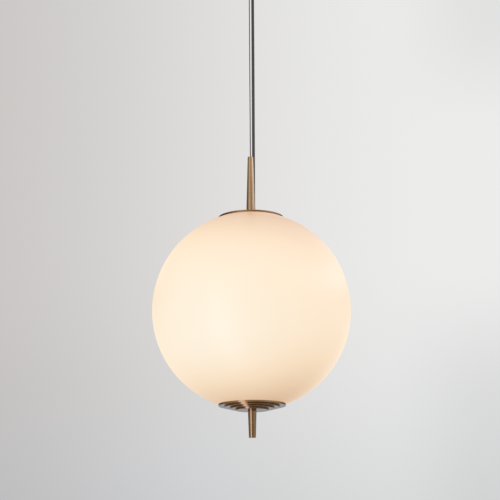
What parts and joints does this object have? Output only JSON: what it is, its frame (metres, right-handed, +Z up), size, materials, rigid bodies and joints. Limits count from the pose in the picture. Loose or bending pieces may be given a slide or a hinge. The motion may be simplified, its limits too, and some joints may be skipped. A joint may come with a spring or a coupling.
{
  "type": "globe pendant light",
  "caption": "Pendant ceiling light: lit opal glass globe between stepped brass plates, tapered brass stem and finial, hung on a steel wire with a separate power cord.",
  "frame": {"origin": "on the ceiling plane at the middle of the ceiling rose, on the axis of the suspension wire", "axes": "+Z up out of the ceiling fitting, -Y towards the viewer, +X to the viewer's right"},
  "size_m": [0.3999, 0.3998, 1.0245],
  "materials": {
    "aged_brass": "satin, turned",
    "opal_glass": "satin opal, lit from inside",
    "steel_wire": "stranded",
    "cord_sheath": "smooth",
    "zinc_steel": "zinc plated",
    "bright_steel": "polished",
    "silicone": "matte",
    "black_nylon": "fine texture",
    "white_enamel": "gloss enamel",
    "holder_thermoset": "moulded",
    "lamp_glass": "opal, lit",
    "lamp_shell": "rolled",
    "block_nylon": "moulded",
    "plain_brass": "machined",
    "core_brown": "smooth",
    "core_blue": "smooth",
    "core_green": "green with a yellow stripe"
  },
  "bodies": {
    "ceiling_fitting": {"ceiling_bracket": "zinc_steel", "hanger_stud": "zinc_steel", "stud_nut": "zinc_steel", "ceiling_rose": "aged_brass", "gripper_body": "aged_brass", "gripper_spring": "bright_steel", "wire_tail": "steel_wire", "cord_grip": "aged_brass", "grip_nut": "plain_brass", "cord_end": "cord_sheath", "live_core": "core_brown", "neutral_core": "core_blue", "earth_core": "core_green", "terminal_block": "block_nylon", "terminal_screws": "plain_brass", "earth_tag": "plain_brass", "earth_screw": "zinc_steel"},
    "release_nozzle": {"gripper_nozzle": "plain_brass", "gripper_balls": "bright_steel"},
    "finial": {"finial": "aged_brass"},
    "globe": {"glass_globe": "opal_glass", "bottom_gasket": "silicone", "bottom_plate": "aged_brass"},
    "pendant": {"suspension_wire": "steel_wire", "wire_stop": "bright_steel", "stem": "aged_brass", "power_cord": "cord_sheath", "cord_bush": "black_nylon", "top_plate": "aged_brass", "top_gasket": "silicone", "centre_tube": "zinc_steel", "plate_washer": "zinc_steel", "plate_nut": "zinc_steel", "cluster_pan": "white_enamel", "cluster_lid": "white_enamel", "cluster_nuts": "zinc_steel", "lid_grommet": "black_nylon", "inner_cord": "cord_sheath", "lampholder_front": "holder_thermoset", "lampholder_rear": "holder_thermoset", "holder_nuts": "zinc_steel", "lamp_contacts": "plain_brass", "lamp_front_cap": "lamp_shell", "lamp_front_bulb": "lamp_glass", "lamp_rear_cap": "lamp_shell", "lamp_rear_bulb": "lamp_glass"}
  },
  "joints": [
    {"name": "nozzle_release", "type": "slide", "parent": "ceiling_fitting", "child": "release_nozzle", "axis": [0, 0, 1], "range_m": [0, 0.002], "stiffness_N_per_m": 500, "springref_m": -0.004, "deforming": ["gripper_spring"]},
    {"name": "pendant_swing", "type": "hinge", "parent": "ceiling_fitting", "child": "pendant", "pos_m": [0, 0, -0.065], "axis": [0.4671, 0.8842, 0], "range_deg": [-10, 10]},
    {"name": "globe_drop", "type": "slide", "parent": "pendant", "child": "globe", "axis": [0, 0, -1], "range_m": [0, 0.01]},
    {"name": "finial_turn", "type": "hinge", "parent": "globe", "child": "finial", "pos_m": [0, 0, -0.97054], "axis": [0, 0, -1], "range_deg": [0, 3600]}
  ],
  "couplings": [
    {"joint": "finial_turn", "follows": "globe_drop", "rad_per_m": 6283.2}
  ]
}
